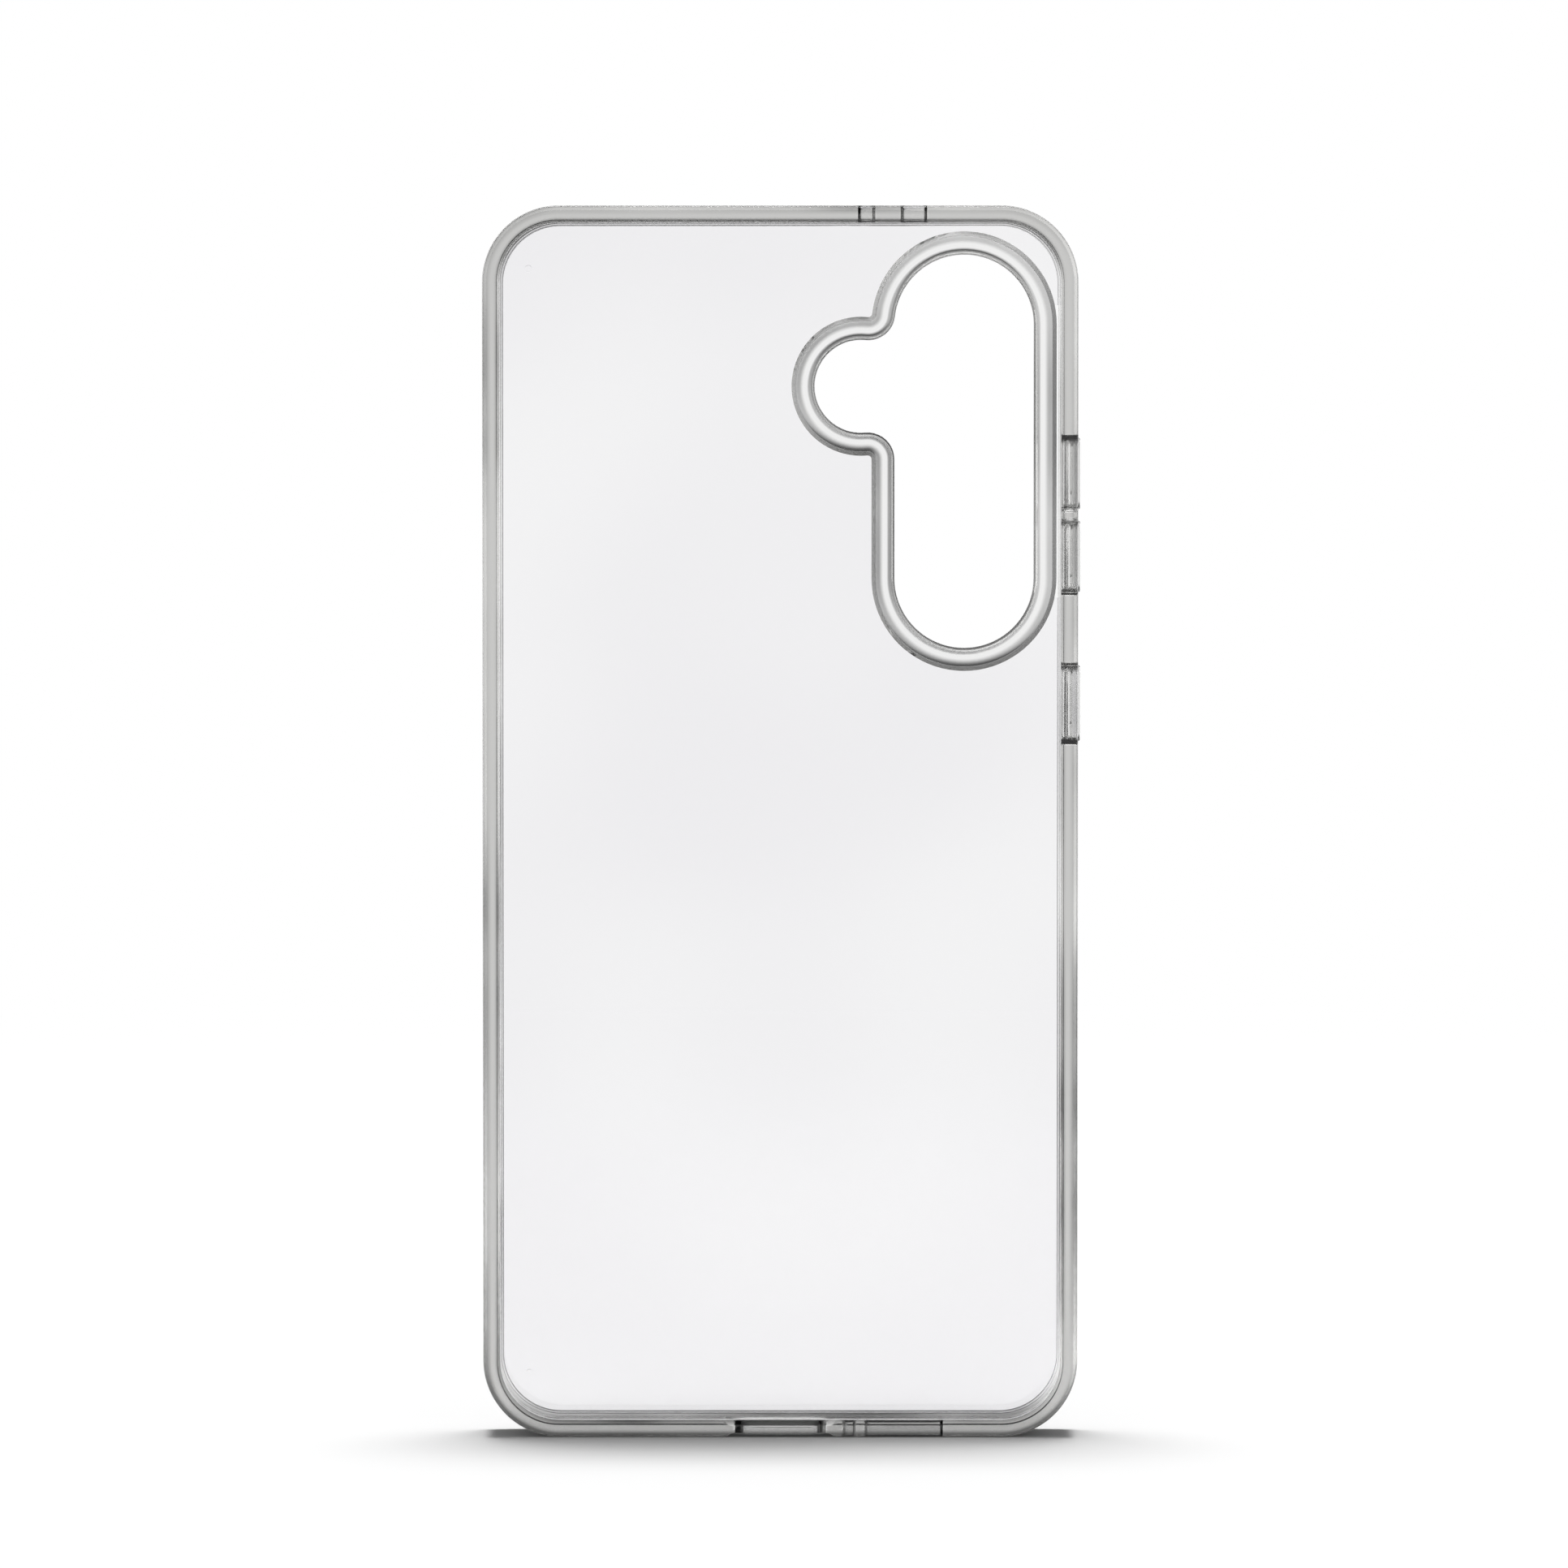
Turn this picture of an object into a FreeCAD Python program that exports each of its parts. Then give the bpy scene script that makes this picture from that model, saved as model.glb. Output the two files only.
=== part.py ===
"""A clear two-material phone case, as a parametric document.

The case stands upright on its bottom edge: X runs across it, with the camera opening and the keys
on the +X side; Y runs from the open front (-Y), where the phone goes in, to the back (+Y); Z is up.
The origin is the bottom centre of the bounding box. All sizes are millimetres.

A hard clear back panel sits in a soft clear bumper frame. The soft material also makes the raised
bezel round the camera opening, and the three key pads on the right wall. Each pad stands on a thin
flexing membrane, with a rib behind it that presses the phone's own key.
"""
import FreeCAD, Part
import math
import os

import Sketcher
from FreeCAD import Vector

DRIVING_SIZES = {
    # the phone's own envelope, and how loosely it sits
    "phone_width": 75.4,
    "phone_height": 160.1,
    "phone_depth": 8.3,
    "phone_corner": 8.3,
    "slack": 0.1,
    # the soft frame's section
    "wall": 1.8,
    "lip_rise": 1.6,
    "lip_reach": 0.45,
    "lip_round": 0.35,
    "front_round": 0.7,
    "back_round": 0.3,
    "pocket_round": 0.2,
    # the hard panel and the rebate that holds its edge
    "panel_thick": 0.8,
    "flange": 0.6,
    "tongue_reach": 0.3,
    "tongue_thick": 0.4,
    # the camera opening and its raised bezel
    "lens_x": 24.6,
    "lens_top": 148.3,
    "lens_bottom": 114.3,
    "lens_round": 12.4,
    "flash_x": 10.8,
    "flash_height": 140.0,
    "flash_round": 9.3,
    "notch_round": 0.5,
    "bezel_band": 3.1,
    "bezel_rise": 1.2,
    "bezel_outer_round": 1.0,
    "bezel_inner_round": 0.8,
    "bezel_front_round": 0.3,
    "bridge_start": 35.0,
    "bridge_extra": 2.5,
    # the keys on the right wall
    "volume_up_height": 128.35,
    "volume_down_height": 117.3,
    "power_height": 97.7,
    "volume_key_length": 9.6,
    "power_key_length": 10.2,
    "key_width": 3.0,
    "key_proud": 0.5,
    "key_round": 0.35,
    "key_groove": 0.45,
    "membrane_thick": 0.35,
    "membrane_back": 1.0,
    "rib_width": 1.4,
    "rib_length": 5.6,
    "rib_depth": 0.5,
    # the openings in the bottom and top walls
    "port_width": 12.4,
    "port_depth": 5.2,
    "scoop_width": 12.0,
    "scoop_rise": 0.55,
    "scoop_round": 1.5,
    "speaker_x": 16.5,
    "speaker_width": 10.6,
    "sound_slot": 1.8,
    "lower_mic_x": 9.2,
    "lower_mic_width": 1.9,
    "upper_mic_x": 11.5,
    "upper_mic_width": 2.4,
    "second_mic_x": 17.8,
    "second_mic_width": 3.6,
}
CLEAR_CUT = 0.2   # how far a pocket runs on into open space
UNDERCUT = 1.0    # how far the scoop's sketch reaches below the foot
NEAR = 1e-4       # how closely an edge must lie on a plane to be picked
START, END, CENTRE = 1, 2, 3
ORIGIN, UPRIGHT_AXIS, LEVEL_AXIS = -1, -2, -1

document = FreeCAD.newDocument("phone_case")
sheet = document.addObject("Spreadsheet::Sheet", "sizes")


class Size:
    """A length that carries both its number and the sheet expression that gives it."""

    def __init__(self, number, text):
        self.number = number
        self.text = text

    def combined(self, other, sign, number):
        return Size(number, f"({self.text} {sign} {plain(other).text})")

    def __add__(self, other):
        return self.combined(other, "+", self.number + plain(other).number)

    def __sub__(self, other):
        return self.combined(other, "-", self.number - plain(other).number)

    def __mul__(self, other):
        return self.combined(other, "*", self.number * plain(other).number)

    def __truediv__(self, other):
        return self.combined(other, "/", self.number / plain(other).number)


def plain(value):
    """value as a Size, where it is a bare number."""
    return value if isinstance(value, Size) else Size(value, f"{value}")


def fill_sheet():
    """Writes the driving sizes into the sheet, and returns them by name."""
    sizes = {}
    for row, (alias, number) in enumerate(DRIVING_SIZES.items(), start=1):
        sheet.set(f"A{row}", alias)
        sheet.set(f"B{row}", str(number))
        sheet.setAlias(f"B{row}", alias)
        sizes[alias] = Size(number, f"sizes.{alias}")
    document.recompute()
    return sizes


S = fill_sheet()

# The shell's outside, and the pocket inside it.
case_width = S["phone_width"] + (S["slack"] + S["wall"]) * 2
case_height = S["phone_height"] + (S["slack"] + S["wall"]) * 2
case_corner = S["phone_corner"] + S["slack"] + S["wall"]
wall_depth = S["lip_rise"] + S["phone_depth"] + S["slack"] + S["panel_thick"]
half_width = case_width / 2
inner_x = half_width - S["wall"]

# Planes across the case's depth, from the open front to the top of the camera bezel.
bezel_back = (wall_depth + S["bezel_rise"]) / 2
case_front = bezel_back * -1
lip_back = case_front + S["lip_rise"]
panel_front = lip_back + S["phone_depth"] + S["slack"]
tongue_back = panel_front + S["tongue_thick"]
case_back = panel_front + S["panel_thick"]
phone_middle = (lip_back + panel_front) / 2

# How far each rounded outline lies inside the case's own.
mouth_inset = S["wall"] + S["lip_reach"]
window_inset = S["wall"] + S["flange"]
tongue_inset = window_inset - S["tongue_reach"]

# The keys, from the top, with each one's height on the wall and its pad's length.
KEYS = {
    "volume_up": (S["volume_up_height"], S["volume_key_length"]),
    "volume_down": (S["volume_down_height"], S["volume_key_length"]),
    "power": (S["power_height"], S["power_key_length"]),
}
membrane_inner = inner_x + S["membrane_back"]
membrane_outer = membrane_inner + S["membrane_thick"]


def bind(item, name, size):
    """Sets a property of a document object from the sheet."""
    item.setExpression(name, plain(size).text)


def new_body(label):
    body = document.addObject("PartDesign::Body", label)
    body.Label = label
    return body


def new_sketch(body, name, role, offset):
    """A sketch on one of the body's origin planes, moved along the plane's normal by offset."""
    sketch = body.newObject("Sketcher::SketchObject", name)
    plane = next(item for item in body.Origin.OriginFeatures if item.Role == role)
    sketch.AttachmentSupport = [(plane, "")]
    sketch.MapMode = "FlatFace"
    bind(sketch, "AttachmentOffset.Base.z", offset)
    return sketch


def facing_sketch(body, name, depth):
    """A sketch parallel to the case's back, at that depth. Its normal points to the front, so a
    pad grows towards -Y and a pocket cuts towards +Y."""
    return new_sketch(body, name, "XZ_Plane", depth * -1)


def arc(x, y, radius, start, end):
    """An arc round (x, y), from one angle to another in degrees, counter-clockwise."""
    circle = Part.Circle(Vector(x, y, 0), Vector(0, 0, 1), radius)
    return Part.ArcOfCircle(circle, math.radians(start), math.radians(end))


def line(x1, y1, x2, y2):
    return Part.LineSegment(Vector(x1, y1, 0), Vector(x2, y2, 0))


def constrain(sketch, kind, *where, size=None):
    """Adds a constraint, and binds its value to the sheet where it has one."""
    if size is None:
        return sketch.addConstraint(Sketcher.Constraint(kind, *where))
    index = sketch.addConstraint(Sketcher.Constraint(kind, *where, plain(size).number))
    sketch.renameConstraint(index, f"{kind}_{index}")
    bind(sketch, f"Constraints.{kind}_{index}", size)
    return index


def place(sketch, element, point, x, y):
    """Holds a point at (x, y) from the sketch's origin."""
    for kind, distance, axis in (("DistanceX", x, UPRIGHT_AXIS), ("DistanceY", y, LEVEL_AXIS)):
        distance = plain(distance)
        if abs(distance.number) < NEAR:
            constrain(sketch, "PointOnObject", element, point, axis)
        elif distance.number > 0:
            constrain(sketch, kind, ORIGIN, START, element, point, size=distance)
        else:
            constrain(sketch, kind, element, point, ORIGIN, START, size=distance * -1)


def join_round(sketch, ends):
    """Joins each element's end to the next one's start, tangent to it. Each entry is an element
    with its start and end points, in the order in which the loop runs through them."""
    for (element, _, last), (follower, first, _) in zip(ends, ends[1:] + ends[:1]):
        constrain(sketch, "Tangent", element, last, follower, first)


def rounded_outline(sketch, inset):
    """The case's own rounded outline, moved inwards by inset."""
    inset = plain(inset)
    width, height = case_width - inset * 2, case_height - inset * 2
    radius = case_corner - inset
    x, r, low = width.number / 2, radius.number, inset.number
    high = low + height.number
    sketch.addGeometry([
        line(r - x, low, x - r, low),
        arc(x - r, low + r, r, 270, 360),
        line(x, low + r, x, high - r),
        arc(x - r, high - r, r, 0, 90),
        line(x - r, high, r - x, high),
        arc(r - x, high - r, r, 90, 180),
        line(-x, high - r, -x, low + r),
        arc(r - x, low + r, r, 180, 270),
    ])
    bottom, corner, right, _, top, _, left, _ = range(8)
    join_round(sketch, [(element, START, END) for element in range(8)])
    constrain(sketch, "Horizontal", top)
    for upright in (right, left):
        constrain(sketch, "Vertical", upright)
    for other in (3, 5, 7):
        constrain(sketch, "Equal", corner, other)
    constrain(sketch, "Radius", corner, size=radius)
    constrain(sketch, "DistanceX", left, START, right, START, size=width)
    constrain(sketch, "DistanceY", bottom, START, top, START, size=height)
    constrain(sketch, "Symmetric", bottom, START, bottom, END, UPRIGHT_AXIS)
    if low < NEAR:
        constrain(sketch, "PointOnObject", bottom, START, LEVEL_AXIS)
    else:
        constrain(sketch, "DistanceY", ORIGIN, START, bottom, START, size=inset)


def slot(sketch, x, y, length, width, upright):
    """A slot with round ends round (x, y), along the sketch's Y if upright and its X if not."""
    middle_x, middle_y, r = plain(x).number, plain(y).number, width.number / 2
    reach = (length.number - width.number) / 2
    if upright:
        shapes = [
            line(middle_x + r, middle_y - reach, middle_x + r, middle_y + reach),
            arc(middle_x, middle_y + reach, r, 0, 180),
            line(middle_x - r, middle_y + reach, middle_x - r, middle_y - reach),
            arc(middle_x, middle_y - reach, r, 180, 360),
        ]
        direction, apart = "Vertical", "DistanceY"
        first = (x, plain(y) + (width - length) / 2)
    else:
        shapes = [
            line(middle_x - reach, middle_y - r, middle_x + reach, middle_y - r),
            arc(middle_x + reach, middle_y, r, 270, 450),
            line(middle_x + reach, middle_y + r, middle_x - reach, middle_y + r),
            arc(middle_x - reach, middle_y, r, 90, 270),
        ]
        direction, apart = "Horizontal", "DistanceX"
        first = (plain(x) + (width - length) / 2, y)
    sketch.addGeometry(shapes)
    side, far_end, _, near_end = range(4)
    join_round(sketch, [(element, START, END) for element in range(4)])
    constrain(sketch, direction, side)
    constrain(sketch, "Equal", far_end, near_end)
    constrain(sketch, "Radius", far_end, size=width / 2)
    constrain(sketch, apart, near_end, CENTRE, far_end, CENTRE, size=length - width)
    place(sketch, near_end, CENTRE, *first)


def meeting_circle(x1, y1, r1, x2, y2, r2):
    """Where circles round two points cross, on the side with the greater y."""
    apart = math.hypot(x2 - x1, y2 - y1)
    along = (apart ** 2 + r1 ** 2 - r2 ** 2) / (2 * apart)
    off = math.sqrt(r1 ** 2 - along ** 2)
    ux, uy = (x2 - x1) / apart, (y2 - y1) / apart
    return max(
        ((x1 + ux * along + side * uy * off, y1 + uy * along - side * ux * off) for side in (1, -1)),
        key=lambda point: point[1],
    )


def camera_outline(sketch, inset):
    """A tall slot for the lenses joined to a round bump for the flash, moved inwards by inset.
    Small arcs round the two notches where the bump meets the slot."""
    lens_r, flash_r = S["lens_round"] - inset, S["flash_round"] - inset
    notch_r = S["notch_round"] + inset
    x, top, bottom = S["lens_x"].number, S["lens_top"].number, S["lens_bottom"].number
    fx, fy = S["flash_x"].number, S["flash_height"].number
    r, fr, nr = lens_r.number, flash_r.number, notch_r.number
    upper_x, upper_y = meeting_circle(x, top, r + nr, fx, fy, fr + nr)
    lower_x = x - r - nr
    lower_y = fy - math.sqrt((fr + nr) ** 2 - (lower_x - fx) ** 2)
    lens_turn = math.degrees(math.atan2(upper_y - top, upper_x - x)) % 360
    flash_turn = math.degrees(math.atan2(upper_y - fy, upper_x - fx)) % 360
    flash_end = math.degrees(math.atan2(lower_y - fy, lower_x - fx)) % 360
    sketch.addGeometry([
        line(x + r, bottom, x + r, top),
        arc(x, top, r, 0, lens_turn),
        arc(upper_x, upper_y, nr, flash_turn + 180, lens_turn + 180),
        arc(fx, fy, fr, flash_turn, flash_end),
        arc(lower_x, lower_y, nr, 0, flash_end - 180),
        line(x - r, lower_y, x - r, bottom),
        arc(x, bottom, r, 180, 360),
    ])
    right, crown, upper_notch, bump, lower_notch, left, base = range(7)
    join_round(sketch, [
        (right, START, END), (crown, START, END), (upper_notch, END, START), (bump, START, END),
        (lower_notch, END, START), (left, START, END), (base, START, END),
    ])
    for upright in (right, left):
        constrain(sketch, "Vertical", upright)
    constrain(sketch, "Radius", crown, size=lens_r)
    constrain(sketch, "Radius", base, size=lens_r)
    constrain(sketch, "Radius", bump, size=flash_r)
    for notch in (upper_notch, lower_notch):
        constrain(sketch, "Radius", notch, size=notch_r)
    place(sketch, crown, CENTRE, S["lens_x"], S["lens_top"])
    constrain(sketch, "DistanceY", ORIGIN, START, base, CENTRE, size=S["lens_bottom"])
    place(sketch, bump, CENTRE, S["flash_x"], S["flash_height"])


def box_outline(sketch, left, right, low, high):
    """A plain rectangle between two X values and two Y values of the sketch."""
    x1, x2, y1, y2 = (plain(value).number for value in (left, right, low, high))
    sketch.addGeometry([line(x1, y1, x2, y1), line(x2, y1, x2, y2),
                        line(x2, y2, x1, y2), line(x1, y2, x1, y1)])
    for element in range(4):
        constrain(sketch, "Coincident", element, END, (element + 1) % 4, START)
    for element, direction in enumerate(("Horizontal", "Vertical") * 2):
        constrain(sketch, direction, element)
    place(sketch, 0, START, left, low)
    place(sketch, 2, START, right, high)


def scoop_outline(sketch):
    """The shallow relief under the charging port: a flat, let down to the foot by an S at each end."""
    rise, r = S["scoop_rise"].number, S["scoop_round"].number
    flat = S["scoop_width"].number / 2
    turn = math.degrees(math.acos(1 - rise / (2 * r)))
    run = 2 * r * math.sin(math.radians(turn))
    foot = flat + run
    sketch.addGeometry([
        line(flat, rise, -flat, rise),
        arc(-flat, rise - r, r, 90, 90 + turn),
        arc(-foot, r, r, 270, 270 + turn),
        line(-foot, 0, -foot, -UNDERCUT),
        line(-foot, -UNDERCUT, foot, -UNDERCUT),
        line(foot, -UNDERCUT, foot, 0),
        arc(foot, r, r, 270 - turn, 270),
        arc(flat, rise - r, r, 90 - turn, 90),
    ])
    ceiling, left_top, left_foot, left_side, floor, right_side, right_foot, right_top = range(8)
    for pair in (
        (ceiling, END, left_top, START), (left_top, END, left_foot, END),
        (right_foot, START, right_top, START), (right_top, END, ceiling, START),
    ):
        constrain(sketch, "Tangent", *pair)
    for pair in (
        (left_foot, START, left_side, START), (left_side, END, floor, START),
        (floor, END, right_side, START), (right_side, END, right_foot, END),
    ):
        constrain(sketch, "Coincident", *pair)
    for side, foot_arc, end in ((left_side, left_foot, START), (right_side, right_foot, END)):
        constrain(sketch, "Vertical", side)
        constrain(sketch, "Vertical", foot_arc, CENTRE, foot_arc, end)
        constrain(sketch, "PointOnObject", foot_arc, end, LEVEL_AXIS)
    constrain(sketch, "Horizontal", floor)
    constrain(sketch, "Symmetric", ceiling, START, ceiling, END, UPRIGHT_AXIS)
    constrain(sketch, "DistanceX", ceiling, END, ceiling, START, size=S["scoop_width"])
    constrain(sketch, "DistanceY", ORIGIN, START, ceiling, START, size=S["scoop_rise"])
    constrain(sketch, "DistanceY", floor, START, ORIGIN, START, size=UNDERCUT)
    for round_end in (left_top, left_foot, right_foot, right_top):
        constrain(sketch, "Radius", round_end, size=S["scoop_round"])


def pad(body, sketch, length, reverse=False):
    """Adds material along the sketch's normal, or against it if reverse."""
    feature = body.newObject("PartDesign::Pad", f"{sketch.Name}_pad")
    feature.Profile = sketch
    feature.Reversed = reverse
    bind(feature, "Length", length)
    document.recompute()
    return feature


def pocket(body, sketch, length, reverse=False):
    """Cuts material against the sketch's normal, or along it if reverse, and makes sure it did."""
    before = body.Shape.Volume
    feature = body.newObject("PartDesign::Pocket", f"{sketch.Name}_pocket")
    feature.Profile = sketch
    feature.Reversed = reverse
    bind(feature, "Length", length)
    document.recompute()
    if body.Shape.Volume > before - NEAR:
        raise RuntimeError(f"{feature.Name} cuts nothing")
    return feature


def round_edges(body, name, radius, wanted):
    """Fillets every edge of the body that wanted() picks."""
    base = body.Tip
    picked = [f"Edge{i}" for i, edge in enumerate(base.Shape.Edges, start=1) if wanted(edge)]
    if not picked:
        raise RuntimeError(f"{name} found no edges")
    feature = body.newObject("PartDesign::Fillet", name)
    feature.Base = (base, picked)
    bind(feature, "Radius", radius)
    document.recompute()
    return feature


def in_plane(edge, axis, value):
    """True if the whole edge lies where that coordinate has that value."""
    low, high = getattr(edge.BoundBox, axis + "Min"), getattr(edge.BoundBox, axis + "Max")
    return abs(low - value) < NEAR and abs(high - value) < NEAR


def on_outline(edge, inset):
    """True if the edge lies on the case's rounded outline, moved inwards by inset."""
    x = half_width.number - inset
    low, high = inset, case_height.number - inset
    middle = edge.valueAt((edge.FirstParameter + edge.LastParameter) / 2)
    if isinstance(edge.Curve, Part.Circle):
        return abs(edge.Curve.Radius - (case_corner.number - inset)) < NEAR
    return min(abs(abs(middle.x) - x), abs(middle.z - low), abs(middle.z - high)) < NEAR


def make_bumper_frame():
    """The soft frame: side walls, the lip over the screen's edge, and the flange round the panel."""
    body = new_body("bumper_frame")
    outside = facing_sketch(body, "frame_outside", case_back)
    rounded_outline(outside, 0)
    pad(body, outside, wall_depth)
    back, front = case_back.number, case_front.number
    round_edges(body, "back_edge", S["back_round"], lambda edge: in_plane(edge, "Y", back))
    round_edges(body, "front_edge", S["front_round"], lambda edge: in_plane(edge, "Y", front))

    for name, depth, inset, length in (
        ("mouth", case_front, mouth_inset, S["lip_rise"] + CLEAR_CUT),
        ("phone_pocket", lip_back, S["wall"], panel_front - lip_back),
        ("panel_window", panel_front, window_inset, S["panel_thick"]),
        ("tongue_rebate", panel_front, tongue_inset, S["tongue_thick"]),
    ):
        sketch = facing_sketch(body, name, depth)
        rounded_outline(sketch, inset)
        pocket(body, sketch, length)
    floor, wall, reach = panel_front.number, S["wall"].number, mouth_inset.number
    round_edges(
        body, "pocket_floor_edge", S["pocket_round"],
        lambda edge: in_plane(edge, "Y", floor) and on_outline(edge, wall),
    )
    round_edges(
        body, "lip_edge", S["lip_round"],
        lambda edge: in_plane(edge, "Y", front) and on_outline(edge, reach),
    )

    scoop = facing_sketch(body, "port_scoop", case_front)
    scoop_outline(scoop)
    pocket(body, scoop, wall_depth)
    cut_wall_openings(body)
    for key, (height, length) in KEYS.items():
        sketch = new_sketch(body, f"{key}_window", "YZ_Plane", half_width + CLEAR_CUT)
        window_outline(sketch, height, length)
        pocket(body, sketch, S["wall"] + CLEAR_CUT * 2)
    return body


def window_outline(sketch, height, length):
    """A key's window in the wall, which is larger than the pad all round."""
    margin = S["key_groove"] * 2
    slot(sketch, phone_middle, height, length + margin, S["key_width"] + margin, upright=True)


def cut_wall_openings(body):
    """The charging port, the loudspeaker slot and the microphone holes."""
    through = S["wall"] + CLEAR_CUT * 2
    for name, x, width, depth in (
        ("charging_port", 0, S["port_width"], S["port_depth"]),
        ("speaker_slot", S["speaker_x"], S["speaker_width"], S["sound_slot"]),
        ("lower_mic", S["lower_mic_x"], S["lower_mic_width"], S["sound_slot"]),
    ):
        sketch = new_sketch(body, name, "XY_Plane", -CLEAR_CUT)
        slot(sketch, x, phone_middle, width, depth, upright=False)
        pocket(body, sketch, through, reverse=True)
    for name, x, width in (
        ("upper_mic", S["upper_mic_x"], S["upper_mic_width"]),
        ("second_mic", S["second_mic_x"], S["second_mic_width"]),
    ):
        sketch = new_sketch(body, name, "XY_Plane", case_height + CLEAR_CUT)
        slot(sketch, x, phone_middle, width, S["sound_slot"], upright=False)
        pocket(body, sketch, through)


def bridge_outline(sketch, right):
    """The stretch where the bezel runs out into the frame, between the lens slot and the edge."""
    box_outline(
        sketch, S["bridge_start"], right,
        S["lens_bottom"] - S["bridge_extra"], S["lens_top"] + S["bridge_extra"],
    )


def make_back_panel():
    """The hard back panel. Its thinner tongue sits in the frame's rebate."""
    body = new_body("back_panel")
    for name, depth, inset, thick in (
        ("panel_core", case_back, window_inset, S["panel_thick"]),
        ("panel_tongue", tongue_back, tongue_inset, S["tongue_thick"]),
    ):
        sketch = facing_sketch(body, name, depth)
        rounded_outline(sketch, inset)
        pad(body, sketch, thick)
    opening = facing_sketch(body, "camera_opening", panel_front)
    camera_outline(opening, plain(0))
    pocket(body, opening, S["panel_thick"])
    notch = facing_sketch(body, "bridge_notch", panel_front)
    bridge_outline(notch, half_width)
    pocket(body, notch, S["panel_thick"])
    return body


def make_camera_bezel():
    """The raised soft ring round the camera opening, with its bridge to the frame."""
    body = new_body("camera_bezel")
    outside = facing_sketch(body, "bezel_outside", bezel_back)
    camera_outline(outside, plain(0))
    pad(body, outside, S["bezel_rise"] + S["panel_thick"])
    for name, depth, inset, thick in (
        ("bridge_core", case_back, window_inset, S["panel_thick"]),
        ("bridge_tongue", tongue_back, tongue_inset, S["tongue_thick"]),
    ):
        sketch = facing_sketch(body, name, depth)
        bridge_outline(sketch, half_width - inset)
        pad(body, sketch, thick)
    inside = facing_sketch(body, "bezel_inside", panel_front)
    camera_outline(inside, S["bezel_band"])
    pocket(body, inside, S["bezel_rise"] + S["panel_thick"])

    top, floor = bezel_back.number, panel_front.number

    def on_inside(edge):
        """True for an edge over the opening's own outline."""
        middle = edge.valueAt((edge.FirstParameter + edge.LastParameter) / 2)
        return inside.Shape.distToShape(Part.Vertex(middle.x, floor, middle.z))[0] < NEAR

    round_edges(
        body, "bezel_outer_edge", S["bezel_outer_round"],
        lambda edge: in_plane(edge, "Y", top) and not on_inside(edge),
    )
    round_edges(
        body, "bezel_inner_edge", S["bezel_inner_round"],
        lambda edge: in_plane(edge, "Y", top) and on_inside(edge),
    )
    round_edges(
        body, "bezel_front_edge", S["bezel_front_round"],
        lambda edge: in_plane(edge, "Y", floor) and on_inside(edge),
    )
    return body


def make_key(key, height, length):
    """A raised key pad, the thin flexing membrane that it stands on, and the rib behind it."""
    membrane = new_body(f"{key}_membrane")
    sketch = new_sketch(membrane, f"{key}_membrane_outline", "YZ_Plane", membrane_inner)
    window_outline(sketch, height, length)
    pad(membrane, sketch, S["membrane_thick"])

    cap = new_body(f"{key}_key")
    sketch = new_sketch(cap, f"{key}_cap_outline", "YZ_Plane", membrane_outer)
    slot(sketch, phone_middle, height, length, S["key_width"], upright=True)
    face = half_width + S["key_proud"]
    pad(cap, sketch, face - membrane_outer)
    outer = face.number
    round_edges(cap, f"{key}_cap_edge", S["key_round"], lambda edge: in_plane(edge, "X", outer))

    rib = new_body(f"{key}_rib")
    sketch = new_sketch(rib, f"{key}_rib_outline", "YZ_Plane", membrane_inner)
    slot(sketch, phone_middle, height, S["rib_length"], S["rib_width"], upright=True)
    pad(rib, sketch, S["rib_depth"], reverse=True)
    return [membrane, cap, rib]


def make_parts():
    parts = [make_bumper_frame(), make_back_panel(), make_camera_bezel()]
    for key, (height, length) in KEYS.items():
        parts += make_key(key, height, length)
    return parts


def check(parts):
    """Stops if anything in the document failed, or a sub-part isn't one valid solid."""
    document.recompute()
    for item in document.Objects:
        if any(word in item.State for word in ("Invalid", "Error")):
            raise RuntimeError(f"{item.Name} failed: {item.State}")
    for part in parts:
        shape = part.Shape
        if shape.isNull() or not shape.isValid() or len(shape.Solids) != 1:
            raise RuntimeError(f"{part.Label} isn't one valid solid")


def write(parts):
    """Writes each sub-part to parts/LABEL.step."""
    os.makedirs("parts", exist_ok=True)
    for part in parts:
        part.Shape.exportStep(f"parts/{part.Label}.step")
        box = part.Shape.BoundBox
        print(f"{part.Label}: {box.XLength:.2f} x {box.YLength:.2f} x {box.ZLength:.2f} mm,"
              f" {part.Shape.Volume / 1000:.3f} cm3")


made = make_parts()
check(made)
write(made)
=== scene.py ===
"""Looks for a clear phone case that stands on its bottom edge, open side towards the camera.

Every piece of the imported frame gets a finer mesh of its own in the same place. The soft frame and
the ring round the camera opening are sections swept round an outline, with rounded openings cut
through them. All lengths are metres.
"""
import math

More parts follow.
